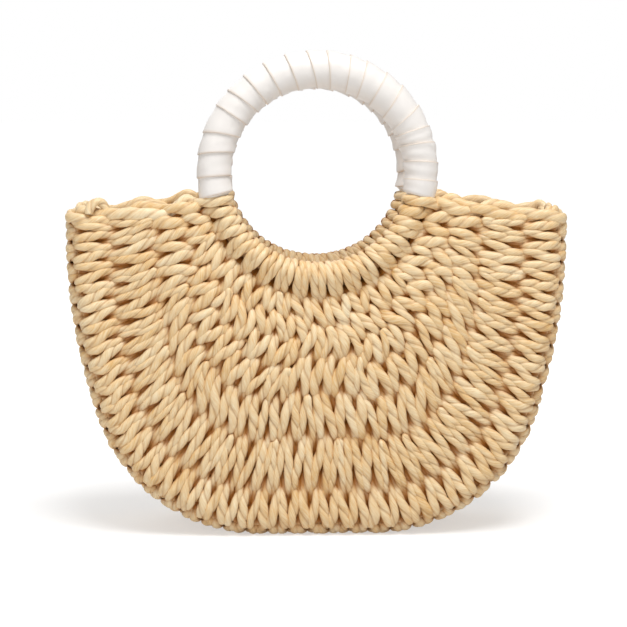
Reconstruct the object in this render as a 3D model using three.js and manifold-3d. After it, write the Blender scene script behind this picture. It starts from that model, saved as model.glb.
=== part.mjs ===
// A straw basket bag: two half-moon faces twined from straw rope, each hung on a round ring
// handle, a gusset between them, and a thick twined rim over both. Ribbon is wound over the bare
// upper part of each ring.
// Millimetres, +X to the right, +Y to the back, +Z up. The origin is on the floor, under the
// middle of the bag.
import * as THREE from "three";
import { mergeVertices } from "three/addons/utils/BufferGeometryUtils.js";
import Module from "manifold-3d";

const wasm = await Module();
wasm.setup();

// The body's outline, seen from the front
const bodyWidth = 350;
const rimHeight = 228; // the rim's top at the two outer corners of the mouth
const rimRise = 8; // how much higher the rim is where it reaches the ring
const rimBand = 8; // height of the thick twined row that caps the walls
const shoulderHeight = 18; // the straight stretch of each side, with the rim
const sideRadius = 400;
const baseCornerRadius = 118;

// The body, seen from the side
const baseDepth = 104;
const mouthDepth = 76;
const wall = 10; // two ropes and the hoop between them
const rimThickness = 11;
const edgeInnerRadius = 4; // inside of the turn from a face to the gusset
const faceCrown = 4; // how far a face swells between the ring and its edge
const courseRelief = 1; // swell of each course of stitches over a hoop
const courseCount = 6; // courses of stitches from the ring to the edge

// The ring handles
const ringRadius = 72; // to the middle of the ring's round section
const ringCoreRadius = 6.3;
const ringLift = 16.7; // the ring's centre above the rim's inner end
const bindingThickness = 4; // straw loops wound round the lower part of the ring
const bindingRelief = 0.7; // groove between two pairs of loops
const bindingPairs = 18;
const bindingReach = 4; // how far the loops climb above the rim's inner end
const ribbonThickness = 6.4; // many layers, at the raised edge of each turn
const ribbonStep = 0.7; // drop from one turn's edge to the turn below it
const ribbonTurns = 19;

const clearance = 0.3; // between pieces that touch

// How finely the curves are cut into flats
const baseFlats = 2;
const cornerFlats = 8;
const sideFlats = 4;
const shoulderFlats = 1;
const edgeFlats = 3;
const ringFlats = 36;
const tubeSides = 10;
const rimSides = 8;

// Sizes that follow from these
const edgeRadius = edgeInnerRadius + wall;
const wallTop = rimHeight - rimBand - clearance;
const ringHeight = rimHeight + rimRise + ringLift;
const leanPerHeight = (baseDepth - mouthDepth) / 2 / rimHeight;
const boundRadius = ringCoreRadius + clearance + bindingThickness;
const sideTangent = Math.acos(
  (rimHeight - shoulderHeight - baseCornerRadius) / (sideRadius - baseCornerRadius)
);
const baseHalfFlat =
  bodyWidth / 2 -
  baseCornerRadius * Math.sin(sideTangent) -
  sideRadius * (1 - Math.sin(sideTangent));
const bindingEnd = Math.asin((ringLift - bindingReach) / ringRadius);

// Half the depth of the body over its outer faces, at a height above the floor.
const halfDepth = (z) => baseDepth / 2 - leanPerHeight * z;

// The right half of the walls' outline as stations from the middle of the base up to the rim,
// each with its place (x, z) and the direction that faces out of the body there (nx, nz).
function halfOutline() {
  const stations = [];
  const add = (x, z, tangent) =>
    stations.push({ x, z, nx: Math.sin(tangent), nz: -Math.cos(tangent) });
  for (let i = 0; i < baseFlats / 2; i++) {
    add((baseHalfFlat * i) / (baseFlats / 2), 0, 0);
  }
  for (let i = 0; i < cornerFlats; i++) {
    const tangent = (sideTangent * i) / cornerFlats;
    const x = baseHalfFlat + baseCornerRadius * Math.sin(tangent);
    add(x, baseCornerRadius * (1 - Math.cos(tangent)), tangent);
  }
  for (let i = 0; i <= sideFlats; i++) {
    const tangent = sideTangent + ((Math.PI / 2 - sideTangent) * i) / sideFlats;
    const x = bodyWidth / 2 - sideRadius * (1 - Math.sin(tangent));
    add(x, rimHeight - shoulderHeight - sideRadius * Math.cos(tangent), tangent);
  }
  const shoulder = rimHeight - shoulderHeight;
  for (let i = 1; i <= shoulderFlats; i++) {
    add(bodyWidth / 2, shoulder + ((wallTop - shoulder) * i) / shoulderFlats, Math.PI / 2);
  }
  return stations;
}

// The whole outline from the rim's left end round the base to its right end. Each station also
// has its share of the length from the middle of the base, from -1 at the left to 1 at the right.
function outline() {
  const right = halfOutline();
  let length = 0;
  right.forEach((station, i) => {
    if (i > 0) {
      length += Math.hypot(station.x - right[i - 1].x, station.z - right[i - 1].z);
    }
    station.share = length;
  });
  right.forEach((station) => {
    station.share /= length;
  });
  const left = right
    .slice(1)
    .reverse()
    .map((s) => ({ x: -s.x, z: s.z, nx: -s.nx, nz: s.nz, share: -s.share }));
  return [...left, ...right];
}

// A geometry from a list of points and a list of faces, each three indices.
function meshOf(points, faces) {
  const geometry = new THREE.BufferGeometry();
  geometry.setAttribute("position", new THREE.Float32BufferAttribute(points.flat(), 3));
  geometry.setIndex(faces.flat());
  return geometry;
}

// A curved slab between two grids of points with the same rows and columns. Seen from outside,
// the outer grid's rows run to the right and its columns run down.
function slab(outer, inner) {
  const rows = outer.length;
  const columns = outer[0].length;
  const points = [...outer.flat(), ...inner.flat()];
  const at = (side, i, j) => side * rows * columns + i * columns + j;
  const faces = [];
  const quad = (a, b, c, d) => faces.push([a, b, c], [a, c, d]);
  for (let i = 0; i < rows - 1; i++) {
    for (let j = 0; j < columns - 1; j++) {
      quad(at(0, i, j), at(0, i, j + 1), at(0, i + 1, j + 1), at(0, i + 1, j));
      quad(at(1, i, j), at(1, i + 1, j), at(1, i + 1, j + 1), at(1, i, j + 1));
    }
    const last = columns - 1;
    quad(at(0, i, 0), at(0, i + 1, 0), at(1, i + 1, 0), at(1, i, 0));
    quad(at(0, i, last), at(1, i, last), at(1, i + 1, last), at(0, i + 1, last));
  }
  for (let j = 0; j < columns - 1; j++) {
    const last = rows - 1;
    quad(at(0, 0, j), at(1, 0, j), at(1, 0, j + 1), at(0, 0, j + 1));
    quad(at(0, last, j), at(0, last, j + 1), at(1, last, j + 1), at(1, last, j));
  }
  return meshOf(points, faces);
}

// A point on a tube of the given radius round the ring, in the ring's own frame: angle goes round
// the ring from its right side over the top, and turn goes round the tube. The ring is cut into
// flats, and points between two of its corners lie on the flat.
function ringPoint(angle, tubeRadius, turn) {
  const step = (2 * Math.PI) / ringFlats;
  const past = angle - Math.floor(angle / step) * step;
  const drop = Math.cos(step / 2) / Math.cos(past - step / 2);
  const reach = drop * (ringRadius + tubeRadius * Math.cos(turn));
  return [reach * Math.cos(angle), tubeRadius * Math.sin(turn), reach * Math.sin(angle)];
}

const tubeSection = (angle, tubeRadius) =>
  Array.from({ length: tubeSides }, (_, k) =>
    ringPoint(angle, tubeRadius, (2 * Math.PI * k) / tubeSides)
  );

// Faces of the skin through a run of closed sections, which face away from the run's middle.
function skinFaces(first, sectionCount, sides, closed, inward) {
  const faces = [];
  const bands = closed ? sectionCount : sectionCount - 1;
  for (let i = 0; i < bands; i++) {
    for (let k = 0; k < sides; k++) {
      const next = (k + 1) % sides;
      const here = first + i * sides;
      const there = first + ((i + 1) % sectionCount) * sides;
      const a = [here + k, here + next, there + next];
      const b = [here + k, there + next, there + k];
      faces.push(...(inward ? [a.reverse(), b.reverse()] : [a, b]));
    }
  }
  return faces;
}

// A solid ring of round section.
function fullRing(tubeRadius) {
  const sections = Array.from({ length: ringFlats }, (_, i) =>
    tubeSection((2 * Math.PI * i) / ringFlats, tubeRadius)
  );
  return meshOf(sections.flat(), skinFaces(0, ringFlats, tubeSides, true, false));
}

// A sleeve over a stretch of the ring's core. The outer stations are pairs of an angle and a
// radius, and the bore keeps the clearance to the core.
function sleeve(outerStations) {
  const outer = outerStations.map(([angle, radius]) => tubeSection(angle, radius));
  const start = outerStations[0][0];
  const end = outerStations[outerStations.length - 1][0];
  const step = (2 * Math.PI) / ringFlats;
  const boreAngles = [start];
  for (let n = Math.floor(start / step) + 1; n * step < end - 1e-6; n++) {
    if (n * step > start + 1e-6) {
      boreAngles.push(n * step);
    }
  }
  boreAngles.push(end);
  const bore = boreAngles.map((angle) => tubeSection(angle, ringCoreRadius + clearance));
  const points = [...outer.flat(), ...bore.flat()];
  const boreFirst = outer.length * tubeSides;
  const faces = [
    ...skinFaces(0, outer.length, tubeSides, false, false),
    ...skinFaces(boreFirst, bore.length, tubeSides, false, true),
  ];
  const outerLast = (outer.length - 1) * tubeSides;
  const boreLast = boreFirst + (bore.length - 1) * tubeSides;
  for (let k = 0; k < tubeSides; k++) {
    const next = (k + 1) % tubeSides;
    faces.push([k, boreFirst + next, next], [k, boreFirst + k, boreFirst + next]);
    faces.push([outerLast + k, outerLast + next, boreLast + next]);
    faces.push([outerLast + k, boreLast + next, boreLast + k]);
  }
  return meshOf(points, faces);
}

// The loops of straw rope that bind a face to the lower part of its ring, with a groove between
// each pair of loops.
function ringBinding() {
  const start = -Math.PI + bindingEnd;
  const sweep = Math.PI - 2 * bindingEnd;
  const stations = [];
  for (let i = 0; i <= 2 * bindingPairs; i++) {
    const groove = i % 2 === 0 ? bindingRelief : 0;
    stations.push([start + (sweep * i) / (2 * bindingPairs), boundRadius - groove]);
  }
  return sleeve(stations);
}

// The ribbon wound round the rest of the ring. Each turn rises to an edge that lies over the
// start of the next one.
function ribbonWinding() {
  const gapAngle = clearance / ringRadius;
  const start = -bindingEnd + gapAngle;
  const sweep = Math.PI + 2 * bindingEnd - 2 * gapAngle;
  const outerRadius = ringCoreRadius + clearance + ribbonThickness;
  const stepShare = 0.08; // how much of a turn the drop at its edge takes up
  const stations = [];
  for (let i = 0; i < ribbonTurns; i++) {
    stations.push([start + (sweep * i) / ribbonTurns, outerRadius - ribbonStep]);
    stations.push([start + (sweep * (i + 1 - stepShare)) / ribbonTurns, outerRadius]);
  }
  stations.push([start + sweep, outerRadius - ribbonStep]);
  return sleeve(stations);
}

// The front face's wall at one station of the outline: a row of outer points and a row of inner
// points from the ring to the outline and round the turn to the gusset. A share of 0 is the
// middle of the base, under the ring, and 1 is the rim at the ring.
function faceRows(s) {
  const innerReach = ringRadius + boundRadius / 2;
  const rimAngle = Math.asin((ringHeight - wallTop - rimRise) / innerReach);
  const angle = -Math.PI / 2 + s.share * (Math.PI / 2 - rimAngle);
  const ringX = innerReach * Math.cos(angle);
  const ringZ = ringHeight + innerReach * Math.sin(angle);
  const turnX = s.x - edgeRadius * s.nx;
  const turnZ = s.z - edgeRadius * s.nz;
  const flats = 2 * courseCount;
  const outer = [];
  const inner = [];
  for (let j = 0; j < flats; j++) {
    const t = j / flats;
    const x = ringX + (turnX - ringX) * t;
    const z = ringZ + (turnZ - ringZ) * t;
    const swell = j % 2 === 1 ? courseRelief : 0;
    const middle = -halfDepth(z) + wall / 2 - faceCrown * Math.sin(Math.PI * t) ** 2;
    outer.push([x, middle - wall / 2 - swell, z]);
    inner.push([x, middle + wall / 2 + swell, z]);
  }
  for (let j = 0; j <= edgeFlats; j++) {
    const turn = ((Math.PI / 2) * j) / edgeFlats;
    for (const [row, radius] of [[outer, edgeRadius], [inner, edgeInnerRadius]]) {
      const x = turnX + s.nx * radius * Math.sin(turn);
      const z = turnZ + s.nz * radius * Math.sin(turn);
      row.push([x, -halfDepth(z) + edgeRadius - radius * Math.cos(turn), z]);
    }
  }
  return { outer, inner };
}

// One woven face: a crowned wall that turns back along the outline to meet the gusset. The loops
// on the ring are seated in a groove along its inner edge.
function wovenFace(ringSeat) {
  const rows = outline().map(faceRows);
  const wallSolid = slab(
    rows.map((row) => row.outer),
    rows.map((row) => row.inner)
  );
  return cut(wallSolid, ringSeat);
}

// The right side's rim: a thick row that caps the walls from the back ring, round the gusset and
// on to the front ring, with its two ends fitted to the loops on the rings.
function rimRow(frontSeat, backSeat) {
  const top = faceRows(outline().at(-1));
  const frontPath = top.outer.map((outer, j) => {
    const inner = top.inner[j];
    const across = Math.hypot(outer[0] - inner[0], outer[1] - inner[1]);
    return {
      x: (outer[0] + inner[0]) / 2,
      y: (outer[1] + inner[1]) / 2,
      z: (outer[2] + inner[2]) / 2 + clearance + rimBand / 2,
      nx: (outer[0] - inner[0]) / across,
      ny: (outer[1] - inner[1]) / across,
    };
  });
  const backPath = frontPath.map((p) => ({ ...p, y: -p.y, ny: -p.ny }));
  const path = [...backPath, ...frontPath.reverse()];
  const points = path.flatMap((p) =>
    Array.from({ length: rimSides }, (_, k) => {
      const turn = (2 * Math.PI * (k + 0.5)) / rimSides;
      const out = ((rimThickness / 2) * Math.cos(turn)) / Math.cos(Math.PI / rimSides);
      const up = ((rimBand / 2) * Math.sin(turn)) / Math.cos(Math.PI / rimSides);
      return [p.x + p.nx * out, p.y + p.ny * out, p.z + up];
    })
  );
  const faces = skinFaces(0, path.length, rimSides, false, false);
  const last = points.length - rimSides;
  for (let k = 1; k < rimSides - 1; k++) {
    faces.push([0, k + 1, k], [last, last + k, last + k + 1]);
  }
  return cut(cut(meshOf(points, faces), frontSeat), backSeat);
}

// The gusset: a flat strip that runs down one side, under the base and up the other side.
function gussetStrip() {
  const outer = [];
  const inner = [];
  for (const s of outline()) {
    for (const [grid, depth] of [[outer, 0], [inner, wall]]) {
      const x = s.x - s.nx * depth;
      const z = s.z - s.nz * depth;
      const reach = halfDepth(z) - edgeRadius - clearance;
      grid.push([[x, -reach, z], [x, 0, z], [x, reach, z]]);
    }
  }
  return slab(outer, inner);
}

// A closed geometry as a solid that can be joined and cut.
function solidOf(geometry) {
  const bare = geometry.clone();
  bare.deleteAttribute("normal");
  bare.deleteAttribute("uv");
  const merged = mergeVertices(bare);
  return new wasm.Manifold(
    new wasm.Mesh({
      numProp: 3,
      vertProperties: new Float32Array(merged.attributes.position.array),
      triVerts: new Uint32Array(merged.index.array),
    })
  );
}

// The first geometry with the second one taken away.
function cut(geometry, tool) {
  const mesh = solidOf(geometry).subtract(solidOf(tool)).getMesh();
  const result = new THREE.BufferGeometry();
  result.setAttribute("position", new THREE.BufferAttribute(mesh.vertProperties, 3));
  result.setIndex(new THREE.BufferAttribute(mesh.triVerts, 1));
  return result;
}

const straw = { color: 0xdcbd8d, roughness: 0.62, metalness: 0 };
const satin = { color: 0xf3eeea, roughness: 0.38, metalness: 0 };
const wood = { color: 0xc9a877, roughness: 0.6, metalness: 0 };

function piece(name, geometry, finish) {
  geometry.computeVertexNormals();
  const mesh = new THREE.Mesh(geometry, new THREE.MeshStandardMaterial(finish));
  mesh.name = name;
  return mesh;
}

// The front ring's place: in the middle of the wall, leaning with the face.
function ringPlace(object) {
  object.position.set(0, -halfDepth(ringHeight) + wall / 2, ringHeight);
  object.rotation.x = -Math.atan(leanPerHeight);
  object.updateMatrix();
  return object;
}

// A face with its ring, built as the front one.
function faceGroup(side, seat) {
  const ring = ringPlace(new THREE.Group());
  ring.add(piece(`${side}_ring`, fullRing(ringCoreRadius), wood));
  ring.add(piece(`${side}_ring_binding`, ringBinding(), straw));
  ring.add(piece(`${side}_ribbon`, ribbonWinding(), satin));
  const group = new THREE.Group();
  group.add(piece(`${side}_face`, wovenFace(seat), straw));
  group.add(ring);
  return group;
}

const halfTurn = Math.PI;
const frontSeat = fullRing(boundRadius + clearance);
frontSeat.applyMatrix4(ringPlace(new THREE.Group()).matrix);
const backSeat = frontSeat.clone().rotateZ(halfTurn);

const bag = new THREE.Group();
const front = faceGroup("front", frontSeat);
const back = faceGroup("back", frontSeat);
back.rotation.z = halfTurn;
const rightRim = piece("right_rim", rimRow(frontSeat, backSeat), straw);
const leftRim = piece("left_rim", rimRow(frontSeat, backSeat), straw);
leftRim.rotation.z = halfTurn;
bag.add(front, back, piece("gusset", gussetStrip(), straw), rightRim, leftRim);

export default bag;
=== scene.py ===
import bpy
import numpy as np
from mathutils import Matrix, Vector


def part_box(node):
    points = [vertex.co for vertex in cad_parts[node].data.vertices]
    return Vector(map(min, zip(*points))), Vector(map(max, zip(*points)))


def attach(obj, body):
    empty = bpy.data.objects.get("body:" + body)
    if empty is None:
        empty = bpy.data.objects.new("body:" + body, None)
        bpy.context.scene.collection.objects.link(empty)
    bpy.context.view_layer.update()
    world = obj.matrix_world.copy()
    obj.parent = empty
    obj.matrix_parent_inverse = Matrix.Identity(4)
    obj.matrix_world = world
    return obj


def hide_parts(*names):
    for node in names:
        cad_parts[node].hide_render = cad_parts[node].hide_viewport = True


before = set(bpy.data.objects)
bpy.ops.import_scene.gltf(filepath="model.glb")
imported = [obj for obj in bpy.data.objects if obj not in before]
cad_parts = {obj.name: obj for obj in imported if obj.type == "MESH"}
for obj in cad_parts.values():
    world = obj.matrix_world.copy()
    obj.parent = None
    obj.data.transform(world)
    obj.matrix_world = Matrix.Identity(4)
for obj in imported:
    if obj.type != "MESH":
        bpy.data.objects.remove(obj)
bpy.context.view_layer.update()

# The woven faces.
# Each face is twined from two-ply paper-straw rope. Rows of two ropes run from the ring handle
# out to the edge and cross over hidden hoop cords, and neighbouring rows twist opposite ways,
# so that their stitches meet in a V. New pairs of rows start where the rows spread apart.
base_depth = 0.104
lean = 0.0614  # how much each face leans in for each metre of height
corner_radius = 0.118
side_radius = 0.400
shoulder = 0.0097  # straight top of each side, under the rim
wall = 0.010
turn_outer = 0.014  # outer radius of the turn from a face to the gusset
turn_middle = turn_outer - wall / 2
crown = 0.004
ring_radius = 0.072
ring_height = 0.2527
rim_angle = np.radians(18.9)  # where the top row meets the ring, below its centre
half_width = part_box("gusset")[1].x
side_bottom = 0.210  # height where the side's round stretch ends
side_tangent = np.arccos((side_bottom - corner_radius) / (side_radius - corner_radius))
base_flat = (
    half_width
    - corner_radius * np.sin(side_tangent)
    - side_radius * (1 - np.sin(side_tangent))
)
corner_length = corner_radius * side_tangent
side_length = side_radius * (np.pi / 2 - side_tangent)
half_outline = base_flat + corner_length + side_length + shoulder

ring_pairs = 14  # pairs of rows that start at the ring
edge_pairs = 43  # pairs of rows that reach the edge
row_room = 0.0076  # width of one row
row_flattening = np.radians(17)  # most that a row leans from the radius at the ring
ring_pull = 0.6  # how firmly a row keeps its direction from the ring
turn_pull = 1.8  # and how firmly it runs square to the edge
row_early = 0.010  # a new pair of rows makes room this long before it starts
row_fade = 0.040  # length over which it takes up its room
rim_spread = 0.13  # how much more room the rows next to the rims have at the ring
course = 0.0245  # length of a stitch over one hoop
edge_course = 0.0175  # length of the last stitch, on the turn
loop_end = 0.017  # end of the loop round the ring, from the ring's centre line
loop_growth = 0.009  # how much longer the loop is at the ring's bottom
loop_radius = 0.0085  # middle of the rope round the ring's core
rope_lift = 0.0030  # how far a rope rises from the wall's middle over a hoop
rope_swing = 0.235  # how far it swings to each side, as a share of the row's width
rope_share = 0.50  # half its width, as a share of the row's width
thinnest_half = 0.0029  # limits of half its width
thickest_half = 0.0043
rope_half_height = 0.0031
loop_half_height = 0.0026
rope_pitch = 0.028  # one full turn of the two plies
blunt_length = 0.003  # rounded start of a rope that begins inside the face
uneven_route = 0.0004
uneven_thickness = 0.06
uneven_tone = 0.12
ply_bulge = 0.15  # share by which the section narrows from the plies' tops to the grooves
groove_depth = 0.25  # share by which it dips further in the grooves
seam_columns = np.radians([-90, -68, -34, 0, 34, 68])  # points of half the section


def half_depth(z):
    """Half the body's depth at a height: half the base's depth less the lean times the height."""
    return base_depth / 2 - lean * z


def outline(share):
    """Point (x, z) and outward direction (x, z) on the outline at a share of its length from the
    middle of the base: a flat, an arc of the corner's radius, an arc of the side's radius and a
    straight shoulder, each run as far as the length allows."""
    side = np.sign(share)
    length = np.abs(share) * half_outline
    flat = np.minimum(length, base_flat)
    round_corner = np.clip(length - base_flat, 0, corner_length) / corner_radius
    up_side = np.clip(length - base_flat - corner_length, 0, side_length) / side_radius
    straight = np.maximum(length - base_flat - corner_length - side_length, 0)
    steep = side_tangent + up_side
    x = flat + corner_radius * np.sin(round_corner)
    x = x + side_radius * (np.sin(steep) - np.sin(side_tangent))
    z = corner_radius * (1 - np.cos(round_corner))
    z = z + side_radius * (np.cos(side_tangent) - np.cos(steep)) + straight
    tangent = round_corner + up_side
    return side * x, z, side * np.sin(tangent), -np.cos(tangent)


def wall_ends(across):
    """Ring point, ring direction, turn point and outward direction of the ray at a share across
    the face, from the left rim at 0 to the right rim at 1."""
    share = 2 * across - 1
    x, z, out_x, out_z = outline(share)
    angle = -np.pi / 2 + share * (np.pi / 2 - rim_angle)
    leave = angle - row_flattening * np.sin(2 * angle)
    away_x = np.cos(leave)
    away_z = np.sin(leave)
    ring_x = ring_radius * np.cos(angle)
    ring_z = ring_height + ring_radius * np.sin(angle)
    turn_x = x - turn_outer * out_x
    turn_z = z - turn_outer * out_z
    return ring_x, ring_z, away_x, away_z, turn_x, turn_z, out_x, out_z


def ray_length(across):
    """Straight distance from the ring's centre line to the turn at a share across the face."""
    ring_x, ring_z, _, _, turn_x, turn_z, _, _ = wall_ends(across)
    return np.hypot(turn_x - ring_x, turn_z - ring_z)


def wall_point(across, out, reach):
    """Middle of the wall. out is 0 at the ring's centre line and 1 at the turn, and a cubic
    leaves the ring near its radius and meets the turn square on. Past 1 it follows the turn's
    arc, and under 0 it runs straight. The crown adds the sine of out squared."""
    ring_x, ring_z, away_x, away_z, turn_x, turn_z, out_x, out_z = wall_ends(across)
    m = np.clip(out, 0, 1)
    chord = np.hypot(turn_x - ring_x, turn_z - ring_z)
    from_ring = 2 * m**3 - 3 * m**2 + 1
    leave = (m**3 - 2 * m**2 + m) * chord * ring_pull
    meet = (m**3 - m**2) * chord * turn_pull
    inside = np.minimum(out, 0) * reach
    bend = np.clip((out - 1) * reach / turn_middle, 0, np.pi)
    round_turn = turn_middle * np.sin(np.minimum(bend, np.pi / 2))
    x = from_ring * ring_x + (1 - from_ring) * turn_x + (leave + inside) * away_x
    z = from_ring * ring_z + (1 - from_ring) * turn_z + (leave + inside) * away_z
    x = x + (meet + round_turn) * out_x
    z = z + (meet + round_turn) * out_z
    y = -half_depth(z) + wall / 2 - crown * np.sin(np.pi * m) ** 2
    y = y + turn_middle * (1 - np.cos(np.minimum(bend, np.pi / 2)))
    return np.stack([x, y, z], axis=-1)


def unit(v):
    """Each vector divided by its length."""
    return v / np.maximum(np.linalg.norm(v, axis=-1, keepdims=True), 1e-12)


def smooth(x):
    """0 below 0, 1 above 1, and three x squared less two x cubed between."""
    x = np.clip(x, 0, 1)
    return x * x * (3 - 2 * x)


def along_path(path):
    """Length along a path at each of its points: the running sum of its steps."""
    return np.concatenate([[0], np.cumsum(np.linalg.norm(np.diff(path, axis=0), axis=-1))])


def stitch_room(across):
    """For a ray, the distance at which its last stitch ends, half way round the turn, the count
    of the stitches between that one and the loop round the ring, and the length left over."""
    last = ray_length(across) + turn_middle * np.pi / 4
    room = last - edge_course - loop_end - loop_growth * np.sin(np.pi * across) ** 2
    count = np.round(room / course)
    return last, count, room - count * course


def stitch_end(across, steps):
    """Distance from the ring's centre line at which a stitch ends, so many steps in from the
    last one. Each step is a course, and what is left over is shared out towards the ring by the
    square of the steps."""
    last, count, left_over = stitch_room(across)
    return last - edge_course - (steps * course + left_over * (steps / count) ** 2)


def course_ends(across):
    """Distances at which all the stitches of a ray end, from the loop round the ring outwards."""
    last, count, _ = stitch_room(across)
    return np.append(stitch_end(across, np.arange(count, -1, -1)), last)


# The rows are made of one rope, so at each distance out they are spaced evenly along the face.
out_steps = 40
even_steps = 200
outs = np.linspace(0, 1, out_steps + 1)
even = np.linspace(0, 1, even_steps + 1)
line_lengths = []
even_across = []
for out in outs:
    along = along_path(wall_point(even, np.full(len(even), out), 1.0))
    line_lengths.append(along[-1])
    even_across.append(np.interp(even, along / along[-1], even))
even_across = np.array(even_across)

# Pairs in the order they reach the edge. Those that come from the ring are spread evenly, and
# the others start at a stitch's end, where there is room for one more, in the golden ratio's
# even scatter.
places = (np.arange(edge_pairs) + 0.5) / edge_pairs
ring_rank = np.round((np.arange(ring_pairs) + 0.5) / ring_pairs * edge_pairs - 0.5).astype(int)
golden = (np.sqrt(5) - 1) / 2
reaches = ray_length(places)
room_for = np.array(line_lengths) / (2 * row_room)
born = np.full(edge_pairs, -1.0)  # metres out from the ring's centre line
for count, pair in enumerate(np.setdiff1d(np.arange(edge_pairs), ring_rank)):
    ends = course_ends(places[pair])
    scatter = (golden * count + 0.45) % 1
    wanted = np.interp(ring_pairs + (edge_pairs - ring_pairs) * scatter, room_for, outs)
    born[pair] = ends[np.argmin(np.abs(ends[:-2] - wanted * reaches[pair] + 0.006))]


def row_across(pair, half, out):
    """Share across the face of the middle of one row of a pair, and the row's own share. Each
    pair takes up room by its weight, which rises smoothly from 0 to 1 past the place where the
    pair starts. Near the ring a cubic gives the first and last rows a little more room and the
    middle ones less."""
    past_start = out[None, :] * reaches[:, None] - born[:, None]
    weight = smooth((past_start + row_early) / row_fade)
    below = np.cumsum(weight, axis=0) - weight / 2
    total = weight.sum(axis=0)
    m = np.clip(out, 0, 1)
    spread = rim_spread * (1 - m) ** 2

    def across(share):
        """Place of a share of the rows: a look-up in the even spacing, between its four
        nearest values."""
        t = 2 * share / total - 1
        t = 0.5 + 0.5 * ((1 - spread) * t + spread * t**3)
        row = np.minimum((m * out_steps).astype(int), out_steps - 1)
        column = np.clip(t * even_steps, 0, even_steps - 0.001)
        left = column.astype(int)
        up = m * out_steps - row
        right = column - left
        low = even_across[row, left] * (1 - right) + even_across[row, left + 1] * right
        high = even_across[row + 1, left] * (1 - right) + even_across[row + 1, left + 1] * right
        return low * (1 - up) + high * up

    middle = across(below[pair] + half * weight[pair] / 4)
    return middle, across(below[pair] + weight[pair] / 2) - across(below[pair])


def tube_faces(left, right, along):
    """Quads of a tube that has a ring of points for each value along it, closed across and with
    a row of quads as a cap at each end. Their UVs are the values left and right of each quad
    and the values along."""
    rings = len(along)
    columns = len(left)
    i, k = np.meshgrid(np.arange(rings - 1), np.arange(columns), indexing="ij")
    here = i * columns
    after = (k + 1) % columns
    quads = np.stack([here + k, here + after, here + columns + after, here + columns + k], axis=-1)
    u = np.stack([left[k], right[k], right[k], left[k]], axis=-1)
    v = np.stack([along[i], along[i], along[i + 1], along[i + 1]], axis=-1)
    cap = np.arange(columns // 2 - 1)
    start_cap = np.stack([cap + 1, cap, columns - 1 - cap, columns - 2 - cap], axis=-1)
    end_cap = np.stack([cap, cap + 1, columns - 2 - cap, columns - 1 - cap], axis=-1)
    quads = np.concatenate([quads.reshape(-1, 4), start_cap, end_cap + (rings - 1) * columns])
    uv = np.concatenate([np.stack([u, v], axis=-1).reshape(-1, 4, 2), np.zeros((2 * len(cap), 4, 2))])
    return quads, uv


def tube(path, side, half_width, half_height, twist, values):
    """A rope along a path. Its section is nearly round with a groove at each side, between the two
    plies, and is turned by the twist and flattened to a half width along side and a half height
    off the wall. Returns points, quads, their UVs and the values with the groove's mark."""
    ahead = unit(np.gradient(path, axis=0))
    wide = unit(side - (side * ahead).sum(-1, keepdims=True) * ahead)
    high = np.cross(ahead, wide)
    column = np.concatenate([seam_columns, seam_columns + np.pi])
    in_groove = np.abs(np.cos(column)) < 0.01
    swell = 1.12 - ply_bulge * np.sin(column) ** 2 - groove_depth * in_groove
    angle = column[None, :] + twist[:, None]
    across = (half_width[:, None] * swell * np.cos(angle))[..., None] * wide[:, None, :]
    off = half_height[:, None] * swell * np.sin(angle)
    points = path[:, None, :] + across + off[..., None] * high[:, None, :]
    left = np.arange(len(column)) / len(column)
    quads, uv = tube_faces(left, left + 1 / len(column), along_path(path) + values["start"])
    # Marks for the painted shade: the groove between the plies, and how far each point stands from the
    # wall's middle.
    groove = np.tile(in_groove.astype(float), len(path))
    lift = np.abs(values["lift"][:, None] + off)
    tone = np.repeat(values["tone"], len(column))
    return points.reshape(-1, 3), quads, uv, groove, lift.ravel(), tone


def quad_piece(name, points, quads, uv, uv_name, values, material, turned):
    """A piece from arrays of points, quads, UVs and named values at the points, turned half
    round the upright if asked, riding on the bag's one body."""
    if turned:
        points = points * [-1, -1, 1]
    mesh = bpy.data.meshes.new(name)
    mesh.vertices.add(len(points))
    mesh.vertices.foreach_set("co", points.ravel())
    mesh.loops.add(quads.size)
    mesh.loops.foreach_set("vertex_index", quads.ravel().astype(np.int32))
    mesh.polygons.add(len(quads))
    mesh.polygons.foreach_set("loop_start", np.arange(0, quads.size, 4, dtype=np.int32))
    mesh.update(calc_edges=True)
    mesh.polygons.foreach_set("use_smooth", np.ones(len(quads), bool))
    layer = mesh.uv_layers.new(name=uv_name)
    layer.uv.foreach_set("vector", uv.reshape(-1).astype(np.float32))
    for label, numbers in values.items():
        value = mesh.attributes.new(label, "FLOAT", "POINT")
        value.data.foreach_set("value", numbers.astype(np.float32))
    mesh.materials.append(material)
    piece = bpy.data.objects.new(name, mesh)
    bpy.context.scene.collection.objects.link(piece)
    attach(piece, "root")
    return piece


def joined_mesh(name, tubes, material, turned=False):
    """One piece of many tubes, each tube's quads counted on from the points before it."""
    first = np.cumsum([0] + [len(t[0]) for t in tubes])
    points = np.concatenate([t[0] for t in tubes])
    quads = np.concatenate([t[1] + n for t, n in zip(tubes, first)])
    uv = np.concatenate([t[2] for t in tubes])
    labels = ("groove", "lift", "tone")
    values = {label: np.concatenate([t[3 + n] for t in tubes]) for n, label in enumerate(labels)}
    return quad_piece(name, points, quads, uv, "along_rope", values, material, turned)


def colour(r, g, b):
    """An sRGB colour from 0 to 255 as linear light with full alpha."""
    c = np.array([r, g, b]) / 255
    linear = np.where(c <= 0.04045, c / 12.92, ((c + 0.055) / 1.055) ** 2.4)
    return (*linear, 1.0)


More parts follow.
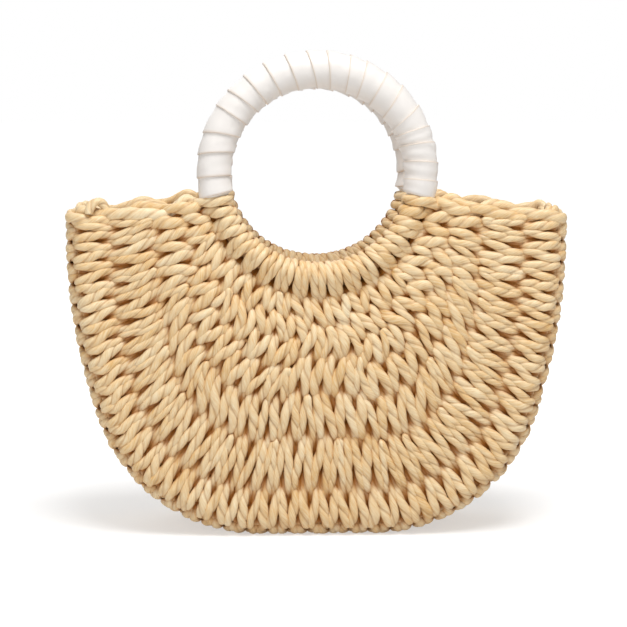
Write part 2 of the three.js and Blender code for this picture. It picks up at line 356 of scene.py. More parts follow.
def fibre_group():
    """Shader group of twisted paper straw: streaks along the plies from noise stretched along the
    rope, painted shade in a browner colour in the groove between the plies and deep in the wall,
    and a tone for each length of rope."""
    group = bpy.data.node_groups.new("straw_fibre", "ShaderNodeTree")
    face = group.interface
    for name, kind in (
        ("Light", "NodeSocketColor"),
        ("Middle", "NodeSocketColor"),
        ("Painted_shade", "NodeSocketColor"),
        ("Streaks", "NodeSocketFloat"),
    ):
        face.new_socket(name=name, in_out="INPUT", socket_type=kind)
    face.new_socket(name="Color", in_out="OUTPUT", socket_type="NodeSocketColor")
    face.new_socket(name="Height", in_out="OUTPUT", socket_type="NodeSocketFloat")
    face.new_socket(name="Roughness", in_out="OUTPUT", socket_type="NodeSocketFloat")
    nodes, links = group.nodes, group.links
    given = nodes.new("NodeGroupInput")
    result = nodes.new("NodeGroupOutput")

    def node(kind, **settings):
        """A new node of the group with its settings."""
        made = nodes.new(kind)
        for key, value in settings.items():
            setattr(made, key, value)
        return made

    def math(operation, a, b):
        """The output of a Math node on two numbers or sockets."""
        made = node("ShaderNodeMath", operation=operation)
        for socket, value in zip(made.inputs, (a, b)):
            if isinstance(value, (int, float)):
                socket.default_value = value
            else:
                links.new(value, socket)
        return made.outputs[0]

    uv = node("ShaderNodeUVMap", uv_map="along_rope")
    stretch = node("ShaderNodeMapping")
    stretch.inputs["Scale"].default_value = (26, 130, 1)
    links.new(uv.outputs[0], stretch.inputs["Vector"])
    streak = node("ShaderNodeTexNoise")
    streak.inputs["Scale"].default_value = 1.0
    streak.inputs["Detail"].default_value = 3
    links.new(stretch.outputs[0], streak.inputs["Vector"])
    place = node("ShaderNodeTexCoord")
    blotch = node("ShaderNodeTexNoise")
    blotch.inputs["Scale"].default_value = 160
    blotch.inputs["Detail"].default_value = 2
    links.new(place.outputs["Object"], blotch.inputs["Vector"])

    groove = node("ShaderNodeAttribute", attribute_name="groove")
    lift = node("ShaderNodeAttribute", attribute_name="lift")
    tone = node("ShaderNodeAttribute", attribute_name="tone")
    streak_off = math("MULTIPLY", math("SUBTRACT", streak.outputs["Fac"], 0.5), given.outputs["Streaks"])
    blotch_off = math("MULTIPLY", math("SUBTRACT", blotch.outputs["Fac"], 0.5), 0.5)
    light = math("ADD", math("ADD", streak_off, blotch_off), tone.outputs["Fac"])
    upper = node("ShaderNodeMix", data_type="RGBA", clamp_factor=True)
    links.new(light, upper.inputs["Factor"])
    links.new(given.outputs["Middle"], upper.inputs[6])
    links.new(given.outputs["Light"], upper.inputs[7])
    # Painted shade: rope near the wall's middle, in the gaps and on its sides under the others, and the
    # groove between the plies, are mixed towards the shade colour.
    depth_shade = node("ShaderNodeMapRange", interpolation_type="SMOOTHSTEP")
    depth_shade.inputs["From Min"].default_value = 0.0056
    depth_shade.inputs["From Max"].default_value = 0.0002
    links.new(lift.outputs["Fac"], depth_shade.inputs["Value"])
    grooved = math("MULTIPLY", groove.outputs["Fac"], 0.40)
    dark = math("MAXIMUM", math("MULTIPLY", depth_shade.outputs[0], 0.95), grooved)
    shaded = node("ShaderNodeMix", data_type="RGBA", clamp_factor=True)
    links.new(dark, shaded.inputs["Factor"])
    links.new(upper.outputs[2], shaded.inputs[6])
    links.new(given.outputs["Painted_shade"], shaded.inputs[7])
    links.new(shaded.outputs[2], result.inputs["Color"])
    links.new(streak.outputs["Fac"], result.inputs["Height"])
    rough = math("ADD", math("MULTIPLY", streak.outputs["Fac"], 0.25), 0.33)
    links.new(rough, result.inputs["Roughness"])
    return group


def straw_material(name, group, light, middle, shade_colour, streaks):
    """Paper straw: fibre colour with painted shade, and streaks, on a soft, slightly shiny surface."""
    material = bpy.data.materials.new(name)
    material.use_nodes = True
    nodes, links = material.node_tree.nodes, material.node_tree.links
    shader = nodes["Principled BSDF"]
    fibre = nodes.new("ShaderNodeGroup")
    fibre.node_tree = group
    fibre.inputs["Light"].default_value = light
    fibre.inputs["Middle"].default_value = middle
    fibre.inputs["Painted_shade"].default_value = shade_colour
    fibre.inputs["Streaks"].default_value = streaks
    bump = nodes.new("ShaderNodeBump")
    bump.inputs["Strength"].default_value = 0.5
    bump.inputs["Distance"].default_value = 0.0006
    links.new(fibre.outputs["Height"], bump.inputs["Height"])
    links.new(bump.outputs[0], shader.inputs["Normal"])
    links.new(fibre.outputs["Color"], shader.inputs["Base Color"])
    links.new(fibre.outputs["Roughness"], shader.inputs["Roughness"])
    shader.inputs["Specular IOR Level"].default_value = 0.55
    return material


straw_group = fibre_group()
# The third colour is painted shade, mixed in deep in the wall and in the grooves between the plies.
straw = straw_material(
    "straw_rope", straw_group, colour(253, 235, 198), colour(227, 180, 110), colour(172, 104, 14), 1.4
)


def over_and_under(turn, power):
    """Sine of the turn with its size raised to a power under 1, so that a rope stays on top of
    the wall for most of a stitch and dives at its ends."""
    wave = np.sin(turn)
    return np.sign(wave) * np.abs(wave) ** power


def uneven(phase, size, chance, knots):
    """Unevenness of work by hand: a random value at each stitch's end, and lines between."""
    return np.interp(phase / np.pi, knots, chance.standard_normal(len(knots)) * size)


def rope(path, side, width, height, lift, phase, knots, chance):
    """A tube with a pitch, a start of the twist, a tone and a start of its streaks of its own."""
    pitch = rope_pitch * chance.uniform(0.75, 1.3)
    twist = -2 * np.pi * along_path(path) / pitch + chance.uniform(0, 2 * np.pi)
    tone = 0.5 + uneven(phase, uneven_tone, chance, knots)
    values = {"start": chance.uniform(0, 9), "lift": lift, "tone": tone}
    return tube(path, side, width, height, twist, values)


def row_phases(ends, first, per_course):
    """Phase along a row, half a turn for each stitch, the share of the way from the ring's
    front to the loop's end, and the distance out. Round the ring the distance is a cosine, then a line
    with a small bulge, and along the stitches it runs straight between their ends."""
    stitches = len(ends) - 1
    if first < 0:
        loop = np.linspace(0, np.pi, int(1.6 * per_course), endpoint=False)
        rest = np.linspace(np.pi, len(ends) * np.pi, per_course * stitches + 1)
        phase = np.append(loop, rest)
    else:
        points = per_course * (stitches - first) + 1
        phase = np.linspace((first + 1) * np.pi, len(ends) * np.pi, points)
    near = np.clip((phase - np.pi / 2) / (np.pi / 2), 0, 1)
    past_ring = ends[0] * (near + 0.25 * np.sin(np.pi * near) * (1 - near) * near)
    round_ring = np.where(phase < np.pi / 2, -loop_radius * np.cos(phase), past_ring)
    in_rows = np.interp(phase, np.arange(1, len(ends) + 1) * np.pi, ends)
    return phase, near, np.where(phase < np.pi, round_ring, in_rows)


def row_ropes(pair, half, chance, per_course):
    """The two ropes of one row of a face, from the ring to half way round the turn. Across the
    row each rope swings by the cosine of its phase, and off the wall by the sine, half a turn
    apart. Round the ring the pair is one loop over the core. A row that starts inside the face
    has one rope rise and the other sink there, both with round ends."""
    middle = row_across(pair, half, np.ones(1))[0][0]
    reach = ray_length(middle)
    ends = course_ends(middle)
    first = -1 if born[pair] < 0 else int(np.argmin(np.abs(ends[:-2] - born[pair])))
    phase, near, distance = row_phases(ends, first, per_course)
    knots = np.arange(0, phase[-1] / np.pi + 2)
    loop = phase < np.pi
    out = distance / reach
    across, share = row_across(pair, half, out)
    nudge = 1e-4
    centre = wall_point(across, out, reach)
    to_side = wall_point(across + nudge, out, reach) - wall_point(across - nudge, out, reach)
    side = unit(to_side)
    row_width = np.linalg.norm(to_side, axis=-1) / (2 * nudge) * share
    normal = unit(np.cross(unit(np.gradient(centre, axis=0)), side))
    swing = rope_swing * row_width * (1 + 0.10 * chance.standard_normal())
    at_ring = np.where(loop, smooth((phase - 0.7) / (np.pi - 0.7)), 1.0)
    lift = np.where(loop, loop_radius + (rope_lift - loop_radius) * smooth(near), rope_lift)
    past_start = distance - distance[0]
    start = np.exp(-past_start / 0.004) * (first >= 0)
    blunt = np.sqrt(np.clip(1 - (1 - past_start / blunt_length) ** 2, 0.06, 1))
    blunt = np.where((past_start < blunt_length) & (first >= 0), blunt, 1.0)
    ropes = []
    for strand in (0, 1):
        turn = phase + strand * np.pi
        wave = over_and_under(turn, 0.55)
        flat = np.where(loop, np.sin(turn), wave)
        flat = np.where(start > 0.05, flat + start * 0.75 * (1 if wave[2] > 0 else -1), flat)
        sway = uneven(phase, uneven_route, chance, knots)
        fat = 1 + uneven(phase, uneven_thickness, chance, knots)
        lateral = sway - half * swing * np.cos(turn) * at_ring
        raised = lift * flat * np.where(loop | (flat > 0), 1.0, 0.8)
        path = centre + side * lateral[:, None] + normal * raised[:, None]
        taper = 0.88 + (0.12 + 0.2 * (np.sin(turn) < 0)) * np.sin(turn) ** 2
        taper = np.where(phase < np.pi / 2, 1.0, taper)
        width = np.clip(row_width * rope_share, thinnest_half, thickest_half) * fat * taper * blunt
        height = np.where(loop, loop_half_height, rope_half_height) * (0.8 + 0.2 * fat) * blunt
        # Mark of height for the painted shade: how far the rope lies above or below the wall's middle.
        depth_shade = np.where(loop, np.sign(flat) * 0.004 * np.abs(flat) ** 0.5, lift * flat)
        ropes.append(rope(path, side, width, height, depth_shade, phase, knots, chance))
    return ropes


def face_ropes(chance, per_course, pairs):
    """All ropes of the pairs of rows given, two rows to a pair."""
    return [
        rope
        for pair in pairs
        for half in (-1, 1)
        for rope in row_ropes(pair, half, chance, per_course)
    ]


middle_pair = edge_pairs // 2
for name, pairs in (
    ("front_weave_left", range(0, middle_pair)),
    ("front_weave_right", range(middle_pair, edge_pairs)),
):
    weave = joined_mesh(name, face_ropes(np.random.default_rng(len(pairs)), 15, pairs), straw)
    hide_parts("front_face", "front_ring_binding")
back_ropes = face_ropes(np.random.default_rng(7), 10, range(edge_pairs))
back_weave = joined_mesh("back_weave", back_ropes, straw, turned=True)
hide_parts("back_face", "back_ring_binding")

# The gusset.
# The same rows run on round the edge, across the side and the base, and up the other face, over
# three or four hoops that lie between the two faces.
gusset_course = 0.0225  # length of a stitch across the gusset
gusset_swing = 0.23
gusset_share = 0.52
gusset_half_height = 0.0029


def gusset_line(across, per_course):
    """Middle line of a row across the gusset: an eighth of a circle out of the front turn, a
    straight across, and an eighth of a circle into the back turn. Returns its points, outward
    directions, sideways directions and phases, and the numbers of its stitches' ends."""
    x, z, out_x, out_z = outline(2 * across - 1)
    reach = half_depth(z[0]) - turn_outer
    length = 2 * (reach + turn_middle * np.pi / 4)
    count = int(round(length / gusset_course))
    phase = np.linspace(-0.1, count * np.pi + 0.1, per_course * count + 1)
    distance = phase / (count * np.pi) * length - length / 2
    bend = np.maximum(np.abs(distance) - reach, 0) / turn_middle
    in_wall = turn_outer - turn_middle * np.cos(bend)
    y = np.sign(distance) * (np.minimum(np.abs(distance), reach) + turn_middle * np.sin(bend))
    centre = np.stack([x - out_x * in_wall, y, z - out_z * in_wall], axis=-1)
    away_y = np.sign(distance) * np.sin(bend)
    normal = np.stack([out_x * np.cos(bend), away_y, out_z * np.cos(bend)], axis=-1)
    side = np.broadcast_to(np.array([-out_z[0], 0, out_x[0]]), centre.shape)
    return centre, normal, side, phase, np.arange(-1, count + 2)


def gusset_ropes(chance, per_course):
    """The two ropes of each row across the gusset, with the same swing and lift as on a face."""
    ropes = []
    for row in range(2 * edge_pairs):
        hand = 2 * (row % 2) - 1
        across = row_across(row // 2, hand, np.ones(1))[0]
        centre, normal, side, phase, knots = gusset_line(across, per_course)
        for strand in (0, 1):
            turn = phase + strand * np.pi
            lift = rope_lift * over_and_under(turn, 0.6)
            sway = uneven(phase, uneven_route, chance, knots)
            fat = 1 + uneven(phase, uneven_thickness, chance, knots)
            lateral = sway - hand * gusset_swing * row_room * np.cos(turn)
            path = centre + side * lateral[:, None] + normal * lift[:, None]
            width = gusset_share * row_room * fat * (0.88 + 0.16 * np.sin(turn) ** 2)
            height = gusset_half_height * fat
            ropes.append(rope(path, side, width, height, lift, phase, knots, chance))
    return ropes


gusset_weave = joined_mesh("gusset_weave", gusset_ropes(np.random.default_rng(21), 11), straw)
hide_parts("gusset")

# The rims.
# A thicker row caps the walls at each side. It loops over the front ring, runs along the top
# edge, round the corner and over the gusset, and on to the back ring.
rim_band = 0.008  # height of the solid rim
rim_course = 0.034  # length of a stitch
rim_loop = 0.020  # from the ring's centre line to the end of the loop
rim_loop_angle = np.radians(15.2)
rim_loop_tilt = np.radians(4)
rim_drop = 0.0026  # how much lower the rim runs at the corner
rim_thick = 0.0033  # how far each rope stands off the middle line
rim_arch = 0.0050  # how high the inner rope arches over the outer one
rim_half_width = 0.0042
rim_half_height = 0.0029
rim_lift = 0.0072  # its mark of height, which keeps most of it free of the painted shade of buried rope
curl_place = np.array([0.1525, 0.0335, 0.2250])  # between the two ends of the corner's curl
curl_reach = np.array([0.0058, 0.0030, 0.0085])  # half its spread in x and y, and its height
curl_length = 0.026
curl_half_width = 0.0036


def rim_path(per_course):
    """Middle line of the right rim as points, outward directions and the phase of its stitches.
    It leaves the front ring a little flatter than the radius, blends into the wall's top row
    and runs to the gusset's middle, and is mirrored from there to the back ring."""
    reach = ray_length(np.array([1.0]))[0]
    arc = turn_middle * np.pi / 2
    half = reach + arc + half_depth(0.22) - turn_outer
    count = round((2 * half - 2 * rim_loop) / rim_course)
    last = (count + 2) * np.pi / 2
    phase = np.linspace(0, last, per_course * (count + 2) // 2 + 1)
    distance = np.interp(phase, [np.pi / 2, np.pi, last], [0, rim_loop, half])
    distance = np.where(phase < np.pi / 2, -loop_radius * np.cos(phase), distance)
    out = np.minimum(distance, reach + arc) / reach
    top = wall_point(np.ones(len(phase)), out, reach)
    blend = 1 - smooth(distance / 0.035)
    ring_x = ring_radius * np.cos(rim_loop_angle) + distance * np.cos(rim_loop_tilt)
    ring_z = ring_height - ring_radius * np.sin(rim_loop_angle) - distance * np.sin(rim_loop_tilt)
    x = blend * ring_x + (1 - blend) * top[:, 0]
    z = blend * ring_z + (1 - blend) * (top[:, 2] + rim_band / 2 + 0.0005)
    z = z - rim_drop * smooth((distance - 0.6 * reach) / (0.5 * reach))
    past = np.maximum(distance - reach - arc, 0)
    y = top[:, 1] + lean * (z - top[:, 2]) * (out < 1) + past
    bend = np.clip((distance - reach) / turn_middle, 0, np.pi / 2)
    normal = np.stack([np.sin(bend), -np.cos(bend), np.zeros(len(phase))], axis=-1)
    points = np.stack([x, y, z], axis=-1)
    mirror = np.array([1, -1, 1])
    path = np.concatenate([points, (points * mirror)[::-1][1:]])
    away = np.concatenate([normal, (normal * mirror)[::-1][1:]])
    return path, away, np.concatenate([phase, (2 * last - phase)[::-1][1:]])


def rim_ropes(chance):
    """The two ropes of the right rim, twisted about its middle line by half a turn for each
    stitch, from the front ring to the back one. The inner one arches above the outer one."""
    path, away, phase = rim_path(24)
    up = unit(np.cross(away, unit(np.gradient(path, axis=0))))
    from_end = np.minimum(phase, phase[-1] - phase)
    at_ring = 1 - smooth((from_end - 0.6 * np.pi) / (0.5 * np.pi))
    knots = np.arange(0, phase[-1] / np.pi + 2)
    ropes = []
    for strand in (0, 1):
        turn = phase + strand * np.pi
        bulge = np.sin(turn) ** 2
        thick = over_and_under(turn, 0.6) * rim_thick * (1 - at_ring)
        thick = thick + np.sin(turn) * loop_radius * at_ring
        arch = bulge * np.where(np.sin(turn) > 0, 0.0, rim_arch)
        fat = 1 + uneven(phase, 0.07, chance, knots)
        rise = (np.cos(turn) * 0.0019 + arch) * (1 - at_ring)
        rise = rise + uneven(phase, 0.0005, chance, knots)
        route = path + away * thick[:, None] + up * rise[:, None]
        width = (rim_half_width - 0.0004 * at_ring) * fat * (0.84 + 0.16 * bulge)
        turns = -2 * np.pi * along_path(path) / rope_pitch + chance.uniform(0, 2 * np.pi)
        tone = 0.55 + uneven(phase, uneven_tone, chance, knots)
        lift = np.full(len(phase), rim_lift)
        values = {"start": chance.uniform(0, 9), "lift": lift, "tone": tone}
        ropes.append(tube(route, up, width, rim_half_height * fat, turns, values))
    return ropes


def rim_curl(chance):
    """A short rope that comes up behind the rim and folds over it near the corner: half an
    ellipse along the rim, slanting from its inside to its outside."""
    t = np.linspace(0, np.pi, 28)
    path = curl_place + curl_reach * np.stack([np.cos(t), np.cos(t), np.sin(t)], axis=-1)
    side = np.broadcast_to(np.array([0.45, -1.0, 0.0]), path.shape)
    along = np.linspace(0, curl_length, len(t))
    size = np.full(len(t), curl_half_width)
    values = {"start": 0.0, "lift": 2 * size, "tone": np.full(len(t), 0.62)}
    turns = -2 * np.pi * along / rope_pitch + chance.uniform(0, 2 * np.pi)
    return [tube(path, side, size, 0.8 * size, turns, values)]


for name, turned in (("right_rim", False), ("left_rim", True)):
    ropes = rim_ropes(np.random.default_rng(31 + turned))
    if turned:
        ropes = ropes + rim_curl(np.random.default_rng(61))
    rim = joined_mesh(name + "_rope", ropes, straw, turned)
    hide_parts(name)

# The hoop cords.
# Thin cords run round the bag inside the weave, one under each course of stitches. They show in
# the gaps at the points of the Vs, in darker straw colours and with much painted shade.
hoop_radius = 0.0020
hoop_pitch = 0.016
hoop_count = 7
hoop_lift = 0.0022  # its mark of height, which gives it much of the painted shade of buried rope
# The third colour is painted shade, which the cords' mark of height gives them much of.
hoop_straw = straw_material(
    "straw_hoop", straw_group, colour(228, 188, 124), colour(208, 156, 86), colour(158, 100, 22), 0.6
)


def hoop_cords(chance):
    """One tube for each course of a face, half way between the two ends of its stitches and
    through the rays that have so many, counted in from the edge."""
    cords = []
    sample = np.linspace(0.012, 0.988, 230)
    last, count, _ = stitch_room(sample)
    outer = last
    for steps in range(hoop_count):
        inner = stitch_end(sample, steps)
        distance = (outer + inner) / 2
        outer = inner
        keep = steps <= count
        if keep.sum() < 8:
            continue
        across = sample[keep]
        reach = ray_length(across)
        path = wall_point(across, distance[keep] / reach, reach)
        side = np.broadcast_to(np.array([0.0, -1.0, 0.0]), path.shape)
        size = np.full(len(path), hoop_radius)
        twist = -2 * np.pi * along_path(path) / hoop_pitch + chance.uniform(0, 2 * np.pi)
        values = {"start": 0.0, "lift": 0 * size + hoop_lift, "tone": 0 * size + 0.5}
        cords.append(tube(path, side, size, size, twist, values))
    return cords


for name, turned in (("front_hoops", False), ("back_hoops", True)):
    hoops = joined_mesh(name, hoop_cords(np.random.default_rng(41)), hoop_straw, turned)

# The ring cores.
# Each handle is a stiff round ring, hidden under the ribbon and the straw loops.
def wood_material():
    """Plain pale wood: streaks from noise that is stretched up the ring, as colour and bump."""
    material = bpy.data.materials.new("ring_wood")
    material.use_nodes = True
    nodes, links = material.node_tree.nodes, material.node_tree.links
    shader = nodes["Principled BSDF"]
    place = nodes.new("ShaderNodeTexCoord")
    stretch = nodes.new("ShaderNodeMapping")
    stretch.inputs["Scale"].default_value = (420, 420, 30)
    links.new(place.outputs["Object"], stretch.inputs["Vector"])
    grain = nodes.new("ShaderNodeTexNoise")
    grain.inputs["Scale"].default_value = 1.0
    grain.inputs["Detail"].default_value = 4
    links.new(stretch.outputs[0], grain.inputs["Vector"])
    tint = nodes.new("ShaderNodeMix")
    tint.data_type = "RGBA"
    tint.inputs[6].default_value = colour(150, 106, 58)
    tint.inputs[7].default_value = colour(206, 164, 112)
    links.new(grain.outputs["Fac"], tint.inputs["Factor"])
    links.new(tint.outputs[2], shader.inputs["Base Color"])
    bump = nodes.new("ShaderNodeBump")
    bump.inputs["Strength"].default_value = 0.2
    bump.inputs["Distance"].default_value = 0.0003
    links.new(grain.outputs["Fac"], bump.inputs["Height"])
    links.new(bump.outputs[0], shader.inputs["Normal"])
    shader.inputs["Roughness"].default_value = 0.6
    return material


wood = wood_material()
for name in ("front_ring", "back_ring"):
    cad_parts[name].data.materials.clear()
    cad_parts[name].data.materials.append(wood)

# The ribbons.
# White satin ribbon is wound round the bare part of each ring in twenty-one turns. Each is lapped
# by the next, with creases where it bends round the ring, and the end ones are tucked in.
ribbon_edges = np.array(
    [197.2, 192.5, 182.3, 171.2, 160.5, 146.2, 137.5, 127.5, 116.7, 105.9, 95.5, 86.0, 74.6, 66.4,
     55.6, 46.3, 34.2, 23.2, 15.2, 5.2, -3.7, -13.5, -17.2]
)  # degrees round the ring from its right side, at its outer edge
ribbon_slants = np.array(
    [-1, -1, -0.7, -5, -5, 0, -2.9, -1, -1.5, -2.6, -4.8, -4.1, -3.2, -3.4,
     -2.4, -5.7, -4.2, 2, 3, 3, 0.5, 0, 0]
)  # degrees from an edge's outer end to its inner end, over the front
ribbon_radius = 0.0111  # of the ring with its ribbon, at its sides
ribbon_swell = 0.0014  # how much thicker it is at the top
ribbon_tuck = 0.0035  # how far it dips under the straw loops
ribbon_lap = 0.0010  # how far a lapped edge stands up
ribbon_thickness = 0.0012
crease_height = 0.00014


def ribbon_edge(turns):
    """Angle round the ring of the ribbon's edge after a number of turns. In the first half of
    each turn it slants over the front to the ring's inside, and in the second half it goes
    behind to the start of the next turn."""
    whole = np.clip(np.floor(turns).astype(int), 0, len(ribbon_edges) - 2)
    part = turns - whole
    start = ribbon_edges[whole]
    inner = start + ribbon_slants[whole]
    after = ribbon_edges[whole + 1]
    front = start + (inner - start) * smooth(part / 0.5)
    behind = inner + (after - inner) * smooth((part - 0.5) / 0.5)
    return np.radians(np.where(part < 0.5, front, behind))


def ribbon_points(chance):
    """A strip wound round the ring's tube. The way along it is the number of turns and the way
    across it runs from its lapped edge to just under the next turn. Its radius rises to the
    lapped edge, creases are sine waves that slant across it, and below the top line of the
    straw loops it dips under them by a smooth step."""
    per_turn = 44
    turns = np.linspace(0, len(ribbon_edges) - 2, per_turn * (len(ribbon_edges) - 2) + 1)
    width = np.array([0, 0.015, 0.05, 0.13, 0.23, 0.34, 0.45, 0.56, 0.67, 0.78, 0.88, 0.96, 1.0, 1.12])
    lower = ribbon_edge(turns)[:, None]
    upper = ribbon_edge(np.minimum(turns + 1, len(ribbon_edges) - 1.001))[:, None]
    angle = lower + (upper - lower) * width
    around = 2 * np.pi * turns[:, None] + 0 * width
    drop = -ring_radius * np.sin(angle)
    past = ring_radius * (np.abs(np.cos(angle)) - np.cos(rim_loop_angle)) + 0.011 * np.cos(around)
    straw_top = ring_radius * np.sin(rim_loop_angle) + past * np.tan(rim_loop_tilt) - 0.0022
    tucked = smooth((drop - straw_top + 0.0022) / 0.0030)
    body = ribbon_radius + ribbon_swell * np.sin(np.clip(angle, 0, np.pi)) ** 0.6
    body = body - ribbon_tuck * tucked
    climb = ribbon_lap * smooth(1 - width) - 0.0004 * (width > 1) - 0.0003 * (width == 0)
    whole = np.floor(turns).astype(int)
    crease_phase = chance.uniform(0, 2 * np.pi, len(ribbon_edges))[whole][:, None]
    crease_size = chance.uniform(0.2, 1.0, len(ribbon_edges))[whole][:, None]
    inside = 0.5 - 0.5 * np.cos(around)
    crease = np.sin(3.2 * np.pi * width + 2.0 * np.sin(around + crease_phase) + crease_phase)
    degrees = np.degrees(angle)
    folds = np.exp(-(((degrees - 162) / 14) ** 2)) + np.exp(-(((degrees - 18) / 18) ** 2))
    crease = crease_height * crease * crease_size * (0.35 + 0.9 * inside + 2.0 * folds)
    radius = body + climb + crease
    inner = body - ribbon_thickness + 0 * width
    radius = np.concatenate([radius, inner[:, ::-1]], axis=1)
    angle = np.concatenate([angle, angle[:, ::-1]], axis=1)
    around = np.concatenate([around, around[:, ::-1]], axis=1)
    reach = ring_radius + radius * np.cos(around)
    x = reach * np.cos(angle)
    up = reach * np.sin(angle)
    off = radius * np.sin(around)
    tilt = np.arctan(lean)
    middle_y = -half_depth(ring_height) + wall / 2
    y = middle_y - off * np.cos(tilt) + up * np.sin(tilt)
    z = ring_height + up * np.cos(tilt) + off * np.sin(tilt)
    across = np.concatenate([width, width[::-1]])
    return np.stack([x, y, z], axis=-1), turns, across


def satin_material():
    """White satin: fine threads along the ribbon and broad soft creases, both as bump, painted
    shade of a warmer, darker white along the lapped edge, and a sheen."""
    material = bpy.data.materials.new("satin_ribbon")
    material.use_nodes = True
    nodes, links = material.node_tree.nodes, material.node_tree.links
    shader = nodes["Principled BSDF"]
    uv = nodes.new("ShaderNodeUVMap")
    uv.uv_map = "along_ribbon"
    stretch = nodes.new("ShaderNodeMapping")
    stretch.inputs["Scale"].default_value = (260, 6, 1)
    links.new(uv.outputs[0], stretch.inputs["Vector"])
    thread = nodes.new("ShaderNodeTexNoise")
    thread.inputs["Scale"].default_value = 1.0
    links.new(stretch.outputs[0], thread.inputs["Vector"])
    soft = nodes.new("ShaderNodeMapping")
    soft.inputs["Scale"].default_value = (1.1, 5.0, 1)
    soft.inputs["Rotation"].default_value = (0, 0, 0.6)
    links.new(uv.outputs[0], soft.inputs["Vector"])
    fold = nodes.new("ShaderNodeTexNoise")
    fold.inputs["Scale"].default_value = 1.0
    fold.inputs["Detail"].default_value = 0.5
    fold.inputs["Distortion"].default_value = 0.5
    links.new(soft.outputs[0], fold.inputs["Vector"])
    edge = nodes.new("ShaderNodeAttribute")
    edge.attribute_name = "edge"
    # The lapped edge is mixed towards the second colour, a painted shade of the step there.
    tint = nodes.new("ShaderNodeMix")
    tint.data_type = "RGBA"
    tint.inputs[6].default_value = colour(243, 238, 233)
    tint.inputs[7].default_value = colour(228, 213, 198)
    links.new(edge.outputs["Fac"], tint.inputs["Factor"])
    links.new(tint.outputs[2], shader.inputs["Base Color"])
    low = nodes.new("ShaderNodeBump")
    low.inputs["Strength"].default_value = 0.4
    low.inputs["Distance"].default_value = 0.0020
    links.new(fold.outputs["Fac"], low.inputs["Height"])
    fine = nodes.new("ShaderNodeBump")
    fine.inputs["Strength"].default_value = 0.06
    fine.inputs["Distance"].default_value = 0.0002
    links.new(thread.outputs["Fac"], fine.inputs["Height"])
    links.new(low.outputs[0], fine.inputs["Normal"])
    links.new(fine.outputs[0], shader.inputs["Normal"])
    shader.inputs["Roughness"].default_value = 0.42
    shader.inputs["Sheen Weight"].default_value = 0.25
    shader.inputs["Specular IOR Level"].default_value = 0.5
    return material


satin = satin_material()


def ribbon_mesh(name, chance, turned):
    """The closed strip as one piece, with a UV map along it and a mark of painted shade on its
    lapped edge that falls from 1 to 0 by a line."""
    points, turns, across = ribbon_points(chance)
    quads, uv = tube_faces(across, np.roll(across, -1), turns)
    # Painted shade along the lapped edge.
    edge_shade = np.tile(np.clip((0.08 - across) / 0.05, 0, 1), len(turns))
    flat = points.reshape(-1, 3)
    outward = quads[:, ::-1]
    return quad_piece(name, flat, outward, uv[:, ::-1], "along_ribbon", {"edge": edge_shade}, satin, turned)


for side_name, turned in (("front", False), ("back", True)):
    ribbon = ribbon_mesh(f"{side_name}_ribbon_winding", np.random.default_rng(51), turned)
    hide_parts(f"{side_name}_ribbon")

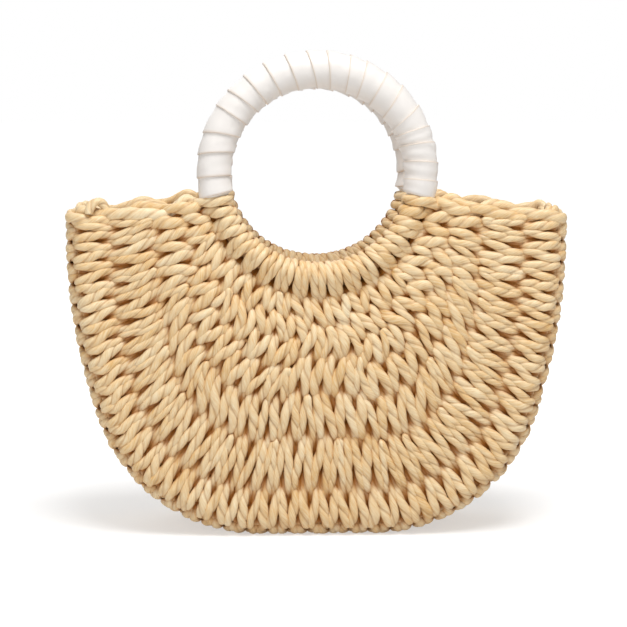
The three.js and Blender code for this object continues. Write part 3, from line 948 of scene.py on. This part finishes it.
# The studio.
# A pale floor, a bright white surround and soft light from the front and above.
def floor_material():
    """Plain pale floor. It glows a little, less near the bag as a painted shadow round its base,
    and more far off by a smooth step of the distance from the bag, so that it meets the white
    surround without a line. Only a share of the glow lights the bag."""
    material = bpy.data.materials.new("floor")
    material.use_nodes = True
    nodes, links = material.node_tree.nodes, material.node_tree.links
    shader = nodes["Principled BSDF"]
    shader.inputs["Base Color"].default_value = (0.60, 0.60, 0.60, 1)
    shader.inputs["Roughness"].default_value = 1.0
    shader.inputs["Specular IOR Level"].default_value = 0.0
    shader.inputs["Emission Color"].default_value = (1, 1, 1, 1)
    place = nodes.new("ShaderNodeTexCoord")
    far = nodes.new("ShaderNodeVectorMath")
    far.operation = "LENGTH"
    links.new(place.outputs["Object"], far.inputs[0])
    # Less glow near the bag: a painted shadow round its base.
    glow = nodes.new("ShaderNodeMapRange")
    glow.interpolation_type = "SMOOTHSTEP"
    glow.inputs["From Min"].default_value = 0.14
    glow.inputs["From Max"].default_value = 0.42
    glow.inputs["To Min"].default_value = 0.50
    glow.inputs["To Max"].default_value = 0.85
    links.new(far.outputs["Value"], glow.inputs["Value"])
    seen = nodes.new("ShaderNodeLightPath")
    share = nodes.new("ShaderNodeMapRange")
    share.inputs["To Min"].default_value = 0.35
    links.new(seen.outputs["Is Camera Ray"], share.inputs["Value"])
    strength = nodes.new("ShaderNodeMath")
    strength.operation = "MULTIPLY"
    links.new(glow.outputs[0], strength.inputs[0])
    links.new(share.outputs[0], strength.inputs[1])
    links.new(strength.outputs[0], shader.inputs["Emission Strength"])
    return material


floor_half = 30.0
floor_corners = [(x * floor_half, y * floor_half, 0) for x, y in ((-1, -1), (1, -1), (1, 1), (-1, 1))]
floor_mesh = bpy.data.meshes.new("floor")
floor_mesh.from_pydata(floor_corners, [], [(0, 1, 2, 3)])
floor_mesh.materials.append(floor_material())
floor = bpy.data.objects.new("floor", floor_mesh)
bpy.context.scene.collection.objects.link(floor)

world = bpy.data.worlds.new("studio")
world.use_nodes = True
sky = world.node_tree.nodes["Background"]
sky.inputs["Color"].default_value = (1, 1, 1, 1)
seen = world.node_tree.nodes.new("ShaderNodeLightPath")
strength = world.node_tree.nodes.new("ShaderNodeMapRange")
strength.inputs["To Min"].default_value = 0.34  # the light it gives
strength.inputs["To Max"].default_value = 1.0  # how bright it looks
world.node_tree.links.new(seen.outputs["Is Camera Ray"], strength.inputs["Value"])
world.node_tree.links.new(strength.outputs[0], sky.inputs["Strength"])
bpy.context.scene.world = world
bpy.context.scene.view_settings.view_transform = "Standard"

# Soft square lights: one high over the front, a weak one at the left and one from behind.
for name, place, size, power in (
    ("key", (0.18, -0.62, 1.70), 0.8, 23),
    ("fill", (-1.0, -1.6, 0.6), 1.2, 4),
    ("back", (-0.5, 1.5, 1.3), 1.2, 6),
):
    data = bpy.data.lights.new(name, "AREA")
    data.size = size
    data.energy = power
    light = bpy.data.objects.new(name, data)
    light.location = place
    light.rotation_euler = (Vector((0, 0, 0.15)) - Vector(place)).to_track_quat("-Z", "Y").to_euler()
    bpy.context.scene.collection.objects.link(light)

camera_place = Vector((-0.050, -1.345, 0.300))
camera_target = Vector((-0.0034, -0.045, 0.1563))
camera_data = bpy.data.cameras.new("camera")
camera_data.sensor_width = 36
camera_data.lens = 108.4
camera = bpy.data.objects.new("camera", camera_data)
camera.location = camera_place
camera.rotation_euler = (camera_target - camera_place).to_track_quat("-Z", "Y").to_euler()
bpy.context.scene.collection.objects.link(camera)
bpy.context.scene.camera = camera
